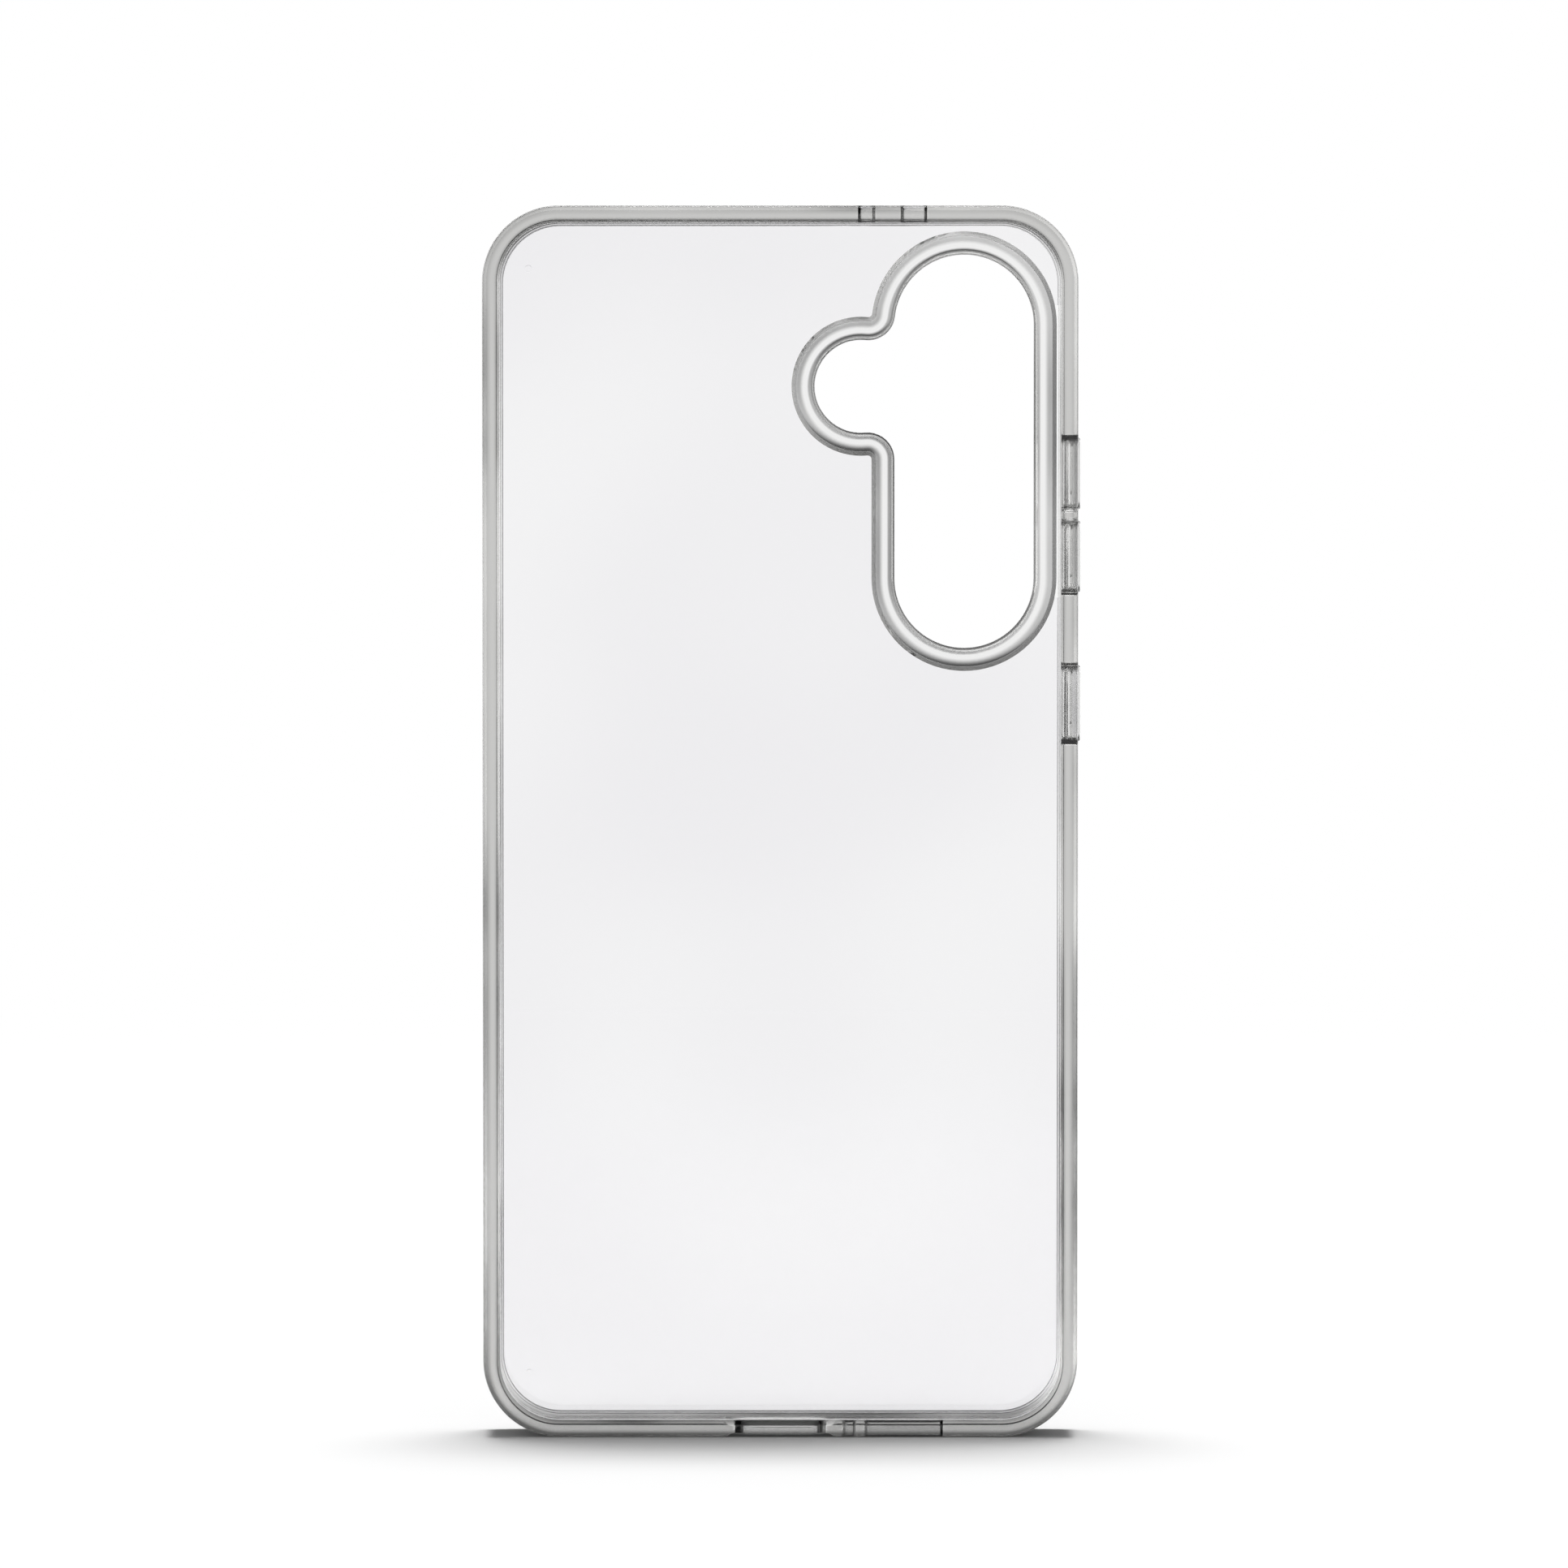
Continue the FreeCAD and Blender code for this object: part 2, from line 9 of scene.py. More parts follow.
import bmesh
import bpy
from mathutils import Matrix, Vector


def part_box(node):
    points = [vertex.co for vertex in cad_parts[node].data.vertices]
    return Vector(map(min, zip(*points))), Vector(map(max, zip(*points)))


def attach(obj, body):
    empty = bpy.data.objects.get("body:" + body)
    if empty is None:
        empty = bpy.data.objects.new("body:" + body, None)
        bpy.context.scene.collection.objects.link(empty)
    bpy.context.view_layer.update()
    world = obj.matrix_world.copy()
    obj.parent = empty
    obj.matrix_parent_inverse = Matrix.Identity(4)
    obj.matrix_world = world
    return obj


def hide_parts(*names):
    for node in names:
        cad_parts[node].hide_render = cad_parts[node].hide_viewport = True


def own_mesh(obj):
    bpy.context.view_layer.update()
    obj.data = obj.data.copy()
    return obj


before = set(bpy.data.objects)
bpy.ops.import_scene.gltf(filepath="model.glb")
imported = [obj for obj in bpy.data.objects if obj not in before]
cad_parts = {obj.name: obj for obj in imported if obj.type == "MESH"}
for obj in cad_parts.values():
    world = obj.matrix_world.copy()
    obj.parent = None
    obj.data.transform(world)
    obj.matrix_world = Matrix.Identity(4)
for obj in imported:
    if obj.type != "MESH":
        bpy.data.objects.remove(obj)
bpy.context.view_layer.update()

MM = 0.001

# ---- sizes: what the frame gives, and the section's own ----
frame_low, frame_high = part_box("bumper_frame")
panel_low, panel_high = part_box("back_panel")
ring_low, ring_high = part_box("camera_bezel")

HALF_WIDTH, HEIGHT = frame_high.x, frame_high.z
FRONT, BACK = frame_low.y, frame_high.y
PANEL_FRONT, RING_BACK = panel_low.y, ring_high.y
TONGUE_INSET = HALF_WIDTH - panel_high.x
CORNER = 10.2 * MM

WALL = 1.8 * MM              # the soft frame's section
LIP_RISE = 1.6 * MM
MOUTH_INSET = 2.3 * MM
WINDOW_INSET = 2.4 * MM
LIP_BACK = FRONT + LIP_RISE
TONGUE_BACK = PANEL_FRONT + 0.4 * MM
BACK_ROUND, FILLET = 0.3 * MM, 0.55 * MM
FRONT_OVAL = 1.4 * MM, 0.9 * MM    # the crowned lip's outer and inner rounds, width and height
LIP_OVAL = 0.9 * MM, 0.6 * MM
UNDERCUT_ROUND, EDGE_ROUND = 0.25 * MM, 0.12 * MM
AIR = 0.03 * MM              # the gap between pieces that touch

LENS_ROUND, FLASH_ROUND, NOTCH_ROUND = 12.4 * MM, 9.3 * MM, 0.5 * MM
LENS_X, FLASH_Z = 24.6 * MM, 140.0 * MM
LENS_TOP, LENS_BOTTOM = ring_high.z - LENS_ROUND, ring_low.z + LENS_ROUND
FLASH_X = ring_low.x + FLASH_ROUND
RING_BAND = 3.1 * MM
RING_OUTER = 0.5 * MM, 0.6 * MM, 1.2 * MM, 0.55 * MM    # a flank's straight foot, then its dome:
RING_INNER = 0.35 * MM, 0.45 * MM, 0.75 * MM, 0.45 * MM    # width and height of each
RING_FRONT_ROUND = 0.3 * MM
PIN_ROUND, PIN_DEPTH = 0.5 * MM, 0.05 * MM
PIN_SECTION = (0.5, 0.93), (0.9, 0.8), (1.0, 0.6)        # shares of the pin mark's depth and radius
PINS = ((5.9 * MM, HEIGHT - 8.2 * MM), (5.9 * MM, 7.6 * MM))     # in from the left edge, and up
BRIDGE_LEFT, BRIDGE_EXTRA = 35.0 * MM, 2.5 * MM

PORT_WIDTH, PORT_DEPTH = 12.4 * MM, 5.2 * MM
SCOOP_HALF, SCOOP_RISE, SCOOP_ROUND = 6.0 * MM, 0.55 * MM, 1.5 * MM
SOUND_SLOT = 1.8 * MM
BOTTOM_HOLES = ((16.5 * MM, 10.6 * MM), (9.2 * MM, 1.9 * MM))    # each hole's X and length
TOP_HOLES = ((11.5 * MM, 2.4 * MM), (17.8 * MM, 3.6 * MM))
PORT_EDGES = 0.25 * MM, 0.2 * MM    # an opening's edge rounds, outside and inside
SOUND_EDGES = 0.15 * MM, 0.12 * MM
KEY_EDGES = 0.2 * MM, 0.15 * MM
KEYS = ("volume_up", "volume_down", "power")
MIDDLE = sum((corner.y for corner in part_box("power_key")), 0.0) / 2    # of the openings, in depth
CAP_ROUND, CAP_CROWN = 0.35 * MM, 0.05 * MM
CAP_FACE = (0.3, 0.7 * MM), (0, 1.1 * MM)    # how much of the crown is left, and how far in
NUB_ROUND = 0.15 * MM
WEB_THICK = 0.24 * MM
WEB_DIP = 0.62 * MM      # how far the rim lies below the platform that carries the pad

CORNER_STEPS, ROUND_STEPS, SLOT_STEPS, RING_STEPS = 28, 8, 14, 40
PIN_STEPS, WEB_STEPS = 24, 10


# ---- outlines and sections ----
def arc(x, y, radius, start, end, steps, tall=None):
    """Points of an arc from one angle to another, in degrees, both ends included. An oval one has
    a half height of its own, tall."""
    tall = radius if tall is None else tall
    turns = [math.radians(start + (end - start) * i / steps) for i in range(steps + 1)]
    return [(x + radius * math.cos(turn), y + tall * math.sin(turn)) for turn in turns]


def case_outline(inset):
    """The case's rounded outline, moved inwards by inset, as (x, z) points."""
    radius = CORNER - inset
    x, low, high = HALF_WIDTH - CORNER, CORNER, HEIGHT - CORNER
    points = []
    for centre_x, centre_z, start in ((x, low, 270), (x, high, 0), (-x, high, 90), (-x, low, 180)):
        points += arc(centre_x, centre_z, radius, start, start + 90, CORNER_STEPS)
    return points


def meeting_point(x1, y1, r1, x2, y2, r2):
    """Where circles round two points cross, on the side with the greater y."""
    apart = math.hypot(x2 - x1, y2 - y1)
    along = (apart ** 2 + r1 ** 2 - r2 ** 2) / (2 * apart)
    off = math.sqrt(r1 ** 2 - along ** 2)
    ux, uy = (x2 - x1) / apart, (y2 - y1) / apart
    return max(
        ((x1 + ux * along + side * uy * off, y1 + uy * along - side * ux * off) for side in (1, -1)),
        key=lambda point: point[1],
    )


def camera_outline(inset):
    """The tall lens slot joined to the flash's round bump, moved inwards by inset."""
    r, fr, nr = LENS_ROUND - inset, FLASH_ROUND - inset, NOTCH_ROUND + inset
    upper = meeting_point(LENS_X, LENS_TOP, r + nr, FLASH_X, FLASH_Z, fr + nr)
    lower_x = LENS_X - r - nr
    lower_z = FLASH_Z - math.sqrt((fr + nr) ** 2 - (lower_x - FLASH_X) ** 2)

    def turn(point, centre):
        return math.degrees(math.atan2(point[1] - centre[1], point[0] - centre[0])) % 360

    lens_turn = turn(upper, (LENS_X, LENS_TOP))
    flash_turn = turn(upper, (FLASH_X, FLASH_Z))
    flash_end = turn((lower_x, lower_z), (FLASH_X, FLASH_Z))
    notch = RING_STEPS // 4
    crown = arc(LENS_X, LENS_TOP, r, 0, lens_turn, RING_STEPS)
    upper_notch = arc(*upper, nr, lens_turn + 180, flash_turn + 180, notch)
    bump = arc(FLASH_X, FLASH_Z, fr, flash_turn, flash_end, RING_STEPS)
    lower_notch = arc(lower_x, lower_z, nr, flash_end - 180, 0, notch)
    base = arc(LENS_X, LENS_BOTTOM, r, 180, 360, RING_STEPS)
    return crown[:-1] + upper_notch[:-1] + bump[:-1] + lower_notch + base


def slot_outline(length, width):
    """A slot with round ends round the origin, long side along the first axis."""
    radius = width / 2
    reach = length / 2 - radius
    return arc(reach, 0, radius, -90, 90, SLOT_STEPS) + arc(-reach, 0, radius, 90, 270, SLOT_STEPS)


def skin(loops, closed=False):
    """A mesh over rings of points. The section closes on itself, or its two ends are capped."""
    mesh = bmesh.new()
    rings = [[mesh.verts.new(point) for point in loop] for loop in loops]
    count = len(rings[0])
    for ring, after in zip(rings, rings[1:] + rings[:1] if closed else rings[1:]):
        for i in range(count):
            j = (i + 1) % count
            mesh.faces.new((ring[i], ring[j], after[j], after[i]))
    if not closed:
        mesh.faces.new(rings[0])
        mesh.faces.new(rings[-1])
    bmesh.ops.recalc_face_normals(mesh, faces=mesh.faces)
    return mesh


def slot_skin(levels, centre, length, width, axis="X"):
    """A capped skin over slots that grow from one (place, growth) level to the next along an axis.
    Their long side lies along Z if that is X, and along X if it is Z."""
    loops = []
    for place, growth in levels:
        points = slot_outline(length + growth * 2, width + growth * 2)
        if axis == "X":
            loops.append([(place, MIDDLE + v, centre + u) for u, v in points])
        else:
            loops.append([(centre + u, MIDDLE + v, place) for u, v in points])
    return skin(loops)


def piece(name, mesh):
    """An object that shows a bmesh."""
    data = bpy.data.meshes.new(name)
    mesh.to_mesh(data)
    mesh.free()
    shape = bpy.data.objects.new(name, data)
    bpy.context.scene.collection.objects.link(shape)
    return shape


def sweep(name, profile, outline, closed=True):
    """A section of (inset, y) points carried round an outline."""
    return piece(name, skin([[(x, y, z) for x, z in outline(inset)] for inset, y in profile], closed))


def applied(shape):
    """Puts what the modifiers make into the mesh itself."""
    graph = bpy.context.evaluated_depsgraph_get()
    shown = bpy.data.meshes.new_from_object(shape.evaluated_get(graph))
    old, shape.data = shape.data, shown
    shape.modifiers.clear()
    bpy.data.meshes.remove(old)
    return shape


def combine(shape, tool, operation):
    """Cuts a piece with a tool, or joins the tool to it, and removes the tool."""
    step = shape.modifiers.new("combine", "BOOLEAN")
    step.operation = operation
    step.solver = "EXACT"
    step.object = tool
    applied(shape)
    bpy.data.objects.remove(tool)
    return shape


def shade(shape, sharp_angle=35):
    """Smooth shading that breaks at sharp edges and keeps the flats flat."""
    for face in shape.data.polygons:
        face.use_smooth = True
    shape.data.set_sharp_from_angle(angle=math.radians(sharp_angle))
    step = shape.modifiers.new("flats", "WEIGHTED_NORMAL")
    step.keep_sharp = True
    step.weight = 90
    return applied(shape)


# ---- openings with rounded edges ----
FLARE_START = 12     # degrees: where a rounded edge leaves the surface that it breaks
FLARE_OVER = 0.02 * MM
REACH = 1.0 * MM     # how far a tool runs on into open space


def flare(surface, outward, radius):
    """(place, growth) levels of a tool from open space through one rounded edge into the wall."""
    levels = []
    for i in range(ROUND_STEPS + 1):
        turn = math.radians(FLARE_START + (90 - FLARE_START) * i / ROUND_STEPS)
        levels.append((surface - outward * radius * (1 - math.cos(turn)), radius * (1 - math.sin(turn))))
    spread = levels[0][1] + FLARE_OVER / math.tan(math.radians(FLARE_START))
    return [(surface + outward * REACH, spread), (surface + outward * FLARE_OVER, spread)] + levels


def tunnel(name, axis, centre, length, width, outside, inside, edges):
    """A tool for a slot through a wall that lies across an axis."""
    outward = 1 if outside > inside else -1
    outer_round, inner_round = edges
    levels = flare(outside, outward, outer_round) + flare(inside, -outward, inner_round)[::-1]
    return piece(name, slot_skin(levels, centre, length, width, axis))


def scoop_tool():
    """The shallow relief under the port: a flat, let down to the foot by an S at each end."""
    turn = math.degrees(math.acos(1 - SCOOP_RISE / (2 * SCOOP_ROUND)))
    foot = SCOOP_HALF + 2 * SCOOP_ROUND * math.sin(math.radians(turn))
    top = arc(SCOOP_HALF, SCOOP_RISE - SCOOP_ROUND, SCOOP_ROUND, 90, 90 - turn, ROUND_STEPS)
    low = arc(foot, SCOOP_ROUND, SCOOP_ROUND, 270 - turn, 270 - FLARE_START / 2, ROUND_STEPS)[1:]
    side = top + low + [(foot, -FLARE_OVER), (foot, -REACH)]
    outline = side + [(-x, z) for x, z in reversed(side)]
    loops = [[(x, y, z) for x, z in outline] for y in (FRONT - REACH, BACK + REACH)]
    return piece("scoop_tool", skin(loops))


def pin_tool(x, z):
    """A shallow round dimple in the panel's front face, as an ejector pin leaves it."""
    levels = [(-REACH, 1.0), (-FLARE_OVER, 1.0)]
    levels += [(PIN_DEPTH * depth, share) for depth, share in PIN_SECTION]
    last_turn = 360 - 360 / PIN_STEPS
    loops = []
    for depth, share in levels:
        circle = arc(0, 0, PIN_ROUND * share, 0, last_turn, PIN_STEPS - 1)
        loops.append([(x + u, PANEL_FRONT + depth, z + v) for u, v in circle])
    return piece("pin_tool", skin(loops))


# ---- the pieces ----
def key_slot(node):
    """A key node's lowest and highest X, and its slot's middle, length and width."""
    low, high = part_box(node)
    return low.x, high.x, (low.z + high.z) / 2, high.z - low.z, high.y - low.y


def soft_frame():
    """The soft frame: a lip over the phone's edge, the wall, and the rebate that holds the panel."""
    u = UNDERCUT_ROUND
    front_wide, front_tall = FRONT_OVAL
    lip_wide, lip_tall = LIP_OVAL
    profile = (
        arc(front_wide, FRONT + front_tall, front_wide, 180, 270, ROUND_STEPS * 2, front_tall)
        + arc(MOUTH_INSET - lip_wide, FRONT + lip_tall, lip_wide, 270, 360, ROUND_STEPS * 2, lip_tall)
        + arc(MOUTH_INSET - EDGE_ROUND, LIP_BACK - EDGE_ROUND, EDGE_ROUND, 0, 90, ROUND_STEPS // 2)
        + arc(WALL + u / 2, LIP_BACK + u / 2, u / 2, 270, 180, ROUND_STEPS)
        + arc(WALL + FILLET, PANEL_FRONT - FILLET, FILLET, 180, 95, ROUND_STEPS)
        + [(WALL + FILLET, PANEL_FRONT - AIR / 4), (TONGUE_INSET, PANEL_FRONT - AIR / 4),
           (TONGUE_INSET, TONGUE_BACK), (WINDOW_INSET, TONGUE_BACK)]
        + arc(WINDOW_INSET - EDGE_ROUND, BACK - EDGE_ROUND, EDGE_ROUND, 0, 90, ROUND_STEPS // 2)
        + arc(BACK_ROUND, BACK - BACK_ROUND, BACK_ROUND, 90, 180, ROUND_STEPS)
    )
    shape = sweep("soft_frame", profile, case_outline)
    combine(shape, scoop_tool(), "DIFFERENCE")
    tools = [tunnel("port_tool", "Z", 0, PORT_WIDTH, PORT_DEPTH, SCOOP_RISE, WALL, PORT_EDGES)]
    for x, length in BOTTOM_HOLES:
        tools.append(tunnel("sound_tool", "Z", x, length, SOUND_SLOT, 0, WALL, SOUND_EDGES))
    for x, length in TOP_HOLES:
        tools.append(tunnel("sound_tool", "Z", x, length, SOUND_SLOT, HEIGHT, HEIGHT - WALL, SOUND_EDGES))
    for key in KEYS:
        slot = key_slot(f"{key}_membrane")[2:]
        tools.append(tunnel("key_tool", "X", *slot, HALF_WIDTH, HALF_WIDTH - WALL, KEY_EDGES))
    for tool in tools:
        combine(shape, tool, "DIFFERENCE")
    return shade(shape)


def ring_bridge(name, grow, front, back):
    """A block where the camera ring runs out into the frame. Grown by a gap, it cuts the panel."""
    low, high = LENS_BOTTOM - BRIDGE_EXTRA - grow, LENS_TOP + BRIDGE_EXTRA + grow
    core, tongue = HALF_WIDTH - WINDOW_INSET - AIR, HALF_WIDTH - TONGUE_INSET - AIR
    section = [(BRIDGE_LEFT, front), (tongue, front), (tongue, TONGUE_BACK - AIR),
               (core, TONGUE_BACK - AIR), (core, back), (BRIDGE_LEFT, back)]
    if grow:
        section = [(BRIDGE_LEFT - grow, front), (HALF_WIDTH, front), (HALF_WIDTH, back),
                   (BRIDGE_LEFT - grow, back)]
    return piece(name, skin([[(x, y, z) for x, y in section] for z in (low, high)]))


def clear_panel():
    """The hard back panel, with the camera opening and shallow pin marks moulded in its face."""
    edge, tongue = WINDOW_INSET + AIR, TONGUE_INSET + AIR
    fine = EDGE_ROUND / 2
    profile = (
        arc(tongue + fine, PANEL_FRONT + fine, fine, 270, 180, ROUND_STEPS // 2)
        + [(tongue, TONGUE_BACK - AIR), (edge, TONGUE_BACK - AIR)]
        + arc(edge + EDGE_ROUND, BACK - EDGE_ROUND, EDGE_ROUND, 180, 90, ROUND_STEPS // 2)
    )
    shape = sweep("clear_panel", profile, case_outline, closed=False)
    through = [(-AIR, FRONT), (-AIR, BACK + REACH)]
    opening = sweep("opening_tool", through, camera_outline, closed=False)
    combine(shape, opening, "DIFFERENCE")
    combine(shape, ring_bridge("notch_tool", AIR, FRONT, BACK + REACH), "DIFFERENCE")
    for inset, height in PINS:
        combine(shape, pin_tool(inset - HALF_WIDTH, height), "DIFFERENCE")
    return shade(shape)


def ring_flank(foot_wide, foot_tall, dome_wide, dome_tall):
    """The ring's section from its edge up to its crest: a straight foot, then half a dome."""
    points = [(0, RING_BACK - dome_tall - foot_tall)]
    for i in range(ROUND_STEPS * 2 + 1):
        left = 1 - i / (ROUND_STEPS * 2)
        points.append((foot_wide + dome_wide * (1 - left), RING_BACK - dome_tall * left ** 2))
    return points


def camera_ring():
    """The raised soft ring round the camera opening, with its bridge to the frame."""
    r = RING_FRONT_ROUND
    profile = (
        [(0, PANEL_FRONT)]
        + ring_flank(*RING_OUTER)
        + [(RING_BAND - inset, y) for inset, y in reversed(ring_flank(*RING_INNER))]
        + arc(RING_BAND - r, PANEL_FRONT + r, r, 360, 270, ROUND_STEPS)
    )
    shape = sweep("camera_ring", profile, camera_outline)
    combine(shape, ring_bridge("bridge_tool", 0, PANEL_FRONT, BACK), "UNION")
    return shade(shape)


def rounded_end(place, outward, radius):
    """(place, growth) levels that round a slot's edge off towards its end."""
    turns = [math.radians(90 * i / ROUND_STEPS) for i in range(ROUND_STEPS + 1)]
    return [
        (place - outward * radius * (1 - math.sin(turn)), -radius * (1 - math.cos(turn)))
        for turn in turns
    ]


def key_cap(key):
    """A raised key pad, its face very slightly crowned."""
    low, high, *slot = key_slot(f"{key}_key")
    levels = [(low + AIR, 0)] + rounded_end(high - CAP_CROWN, 1, CAP_ROUND)
    levels += [(high - CAP_CROWN * share, -inset) for share, inset in CAP_FACE]
    return shade(piece(f"{key}_cap", slot_skin(levels, *slot)))


def key_nub(key):
    """The rib behind a key pad that presses the phone's own key."""
    low, high, *slot = key_slot(f"{key}_rib")
    return shade(piece(f"{key}_nub", slot_skin([(high, 0)] + rounded_end(low, -1, NUB_ROUND), *slot)))


def key_web(key):
    """The thin flexing web that closes a key window: a platform under the pad and a sloping skirt.
    It comes with the places of the rim's middle and of the platform."""
    _, high, middle, length, width = key_slot(f"{key}_membrane")
    pad_width = key_slot(f"{key}_key")[-1]
    margin = (width - pad_width) / 2
    platform = high - AIR
    outer = []
    for i in range(WEB_STEPS + 1):
        share = i / WEB_STEPS
        rise = share * share * (3 - 2 * share)
        outer.append((platform - WEB_DIP * (1 - rise), -AIR - (margin - AIR) * share))
    inner = [(x - WEB_THICK, growth) for x, growth in outer]
    shape = piece(f"{key}_web", slot_skin(inner[::-1] + outer, middle, length, width))
    for face in shape.data.polygons:
        face.use_smooth = len(face.vertices) == 4
    return shape, platform - WEB_DIP - WEB_THICK / 2, platform


# ---- materials ----
NOISE_SPAN = 0.3, 0.7        # what most of the noise lies between
# the haze is the plastic's own uneven tone; the streaks break up the painted shade on the rounds
HAZE_SIZE, EDGE_SHADE_STREAK_SIZE = 60 * MM, 28 * MM
EDGE_SHADE_SLOPE = 0.05, 0.45      # sine times cosine of a surface's slope, where its painted shade starts and ends
UNDERSIDE_REFLECTION = -0.35, 0.1       # a normal's height where the painted reflection of a dark table on undersides is full, and gone
UNDERSIDE_REFLECTION_LIGHT = 0.06
UPSIDE = 0.1, 0.9            # one where the painted shadow on the pocket's floor starts, and is full
POCKET_FLOOR_SHADOW = 5 * MM, CORNER    # the heights in the case between which that fades out
POCKET_FLOOR_SHADOW_LIGHT = 0.5
FOOT_SHADOW = 1.5 * MM, 5 * MM      # the heights between which the painted shadow on the whole foot fades out
FOOT_SHADOW_LIGHT = 0.78
OPENINGS_HALF = 2.9 * MM     # the openings' own walls, this near the middle, have no painted edge shade
HARD_IOR, SOFT_IOR = 1.585, 1.50
HARD_TINTS = (0.88, 0.875, 0.89), (0.93, 0.93, 0.935)
SOFT_TINTS = (0.95, 0.95, 0.95), (0.98, 0.98, 0.978)
HARD_DEPTH = (0.44, 0.40, 0.48), 40.0    # the colour that thickness leaves, and its density
SOFT_DEPTH = (0.45, 0.447, 0.432), 90.0


class Nodes:
    """Short forms for the nodes of one material or world."""

    def __init__(self, tree):
        self.nodes, self.links = tree.nodes, tree.links

    def feed(self, socket, value):
        if isinstance(value, bpy.types.NodeSocket):
            self.links.new(value, socket)
        else:
            socket.default_value = value

    def math(self, operation, *values):
        node = self.nodes.new("ShaderNodeMath")
        node.operation = operation
        for socket, value in zip(node.inputs, values):
            self.feed(socket, value)
        return node.outputs["Value"]

    def vector(self, operation, *values, result="Vector"):
        node = self.nodes.new("ShaderNodeVectorMath")
        node.operation = operation
        for socket, value in zip(node.inputs, values):
            self.feed(socket, value)
        return node.outputs[result]

    def fade(self, value, start, end, low=0.0, high=1.0):
        """A smooth step from low to high as value goes from start to end."""
        node = self.nodes.new("ShaderNodeMapRange")
        node.interpolation_type = "SMOOTHSTEP"
        self.feed(node.inputs["Value"], value)
        for name, number in (("From Min", start), ("From Max", end), ("To Min", low), ("To Max", high)):
            node.inputs[name].default_value = number
        return node.outputs["Result"]

    def mix(self, share, first, second):
        """A blend of two colours or greys."""
        node = self.nodes.new("ShaderNodeMix")
        node.data_type = "RGBA"
        for name, value in (("Factor", share), ("A", first), ("B", second)):
            self.feed(node.inputs[name], value)
        return node.outputs["Result"]

    def noise(self, size, detail):
        """Soft noise that covers nearly 0 to 1, with blotches of about a size."""
        node = self.nodes.new("ShaderNodeTexNoise")
        node.inputs["Scale"].default_value = 1 / size
        node.inputs["Detail"].default_value = detail
        self.links.new(self.place(), node.inputs["Vector"])
        return self.fade(node.outputs["Fac"], *NOISE_SPAN)

    def place(self):
        return self.nodes.new("ShaderNodeTexCoord").outputs["Object"]

    def part(self, vector, axis):
        """One of a vector's three numbers."""
        node = self.nodes.new("ShaderNodeSeparateXYZ")
        self.links.new(vector, node.inputs["Vector"])
        return node.outputs[axis]


def painted_edge_shade_mask(tree, normal):
    """Where the painted shade on the rounds goes: 1 on the rounds between the case's faces and its side
    walls, and 0 on the flats.
    """
    across = tree.part(normal, "Y")
    square = tree.math("MULTIPLY", across, across)
    slope = tree.math("SQRT", tree.math("MULTIPLY", square, tree.math("SUBTRACT", 1, square)))
    depth = tree.math("ABSOLUTE", tree.math("SUBTRACT", tree.part(tree.place(), "Y"), MIDDLE))
    return tree.math("MULTIPLY", tree.fade(slope, *EDGE_SHADE_SLOPE),
                     tree.math("GREATER_THAN", depth, OPENINGS_HALF))


def facing_up(tree, geometry):
    """The outward normal's height, from inside the material as from outside."""
    outward = tree.math("MULTIPLY_ADD", geometry["Backfacing"], -2, 1)
    return tree.math("MULTIPLY", tree.part(geometry["Normal"], "Z"), outward)


def painted_table_shadow(tree, upward):
    """A painted shadow of the table: lower near it, most of all on the floor of the phone's pocket, and 1
    on the rest.
    """
    height = tree.part(tree.place(), "Z")
    share = tree.math("MULTIPLY", tree.fade(height, *POCKET_FLOOR_SHADOW, 1, 0), tree.fade(upward, *UPSIDE))
    pocket_floor_shadow = tree.math("MULTIPLY_ADD", share, POCKET_FLOOR_SHADOW_LIGHT - 1, 1)
    return tree.math("MULTIPLY", pocket_floor_shadow, tree.fade(height, *FOOT_SHADOW, FOOT_SHADOW_LIGHT, 1))


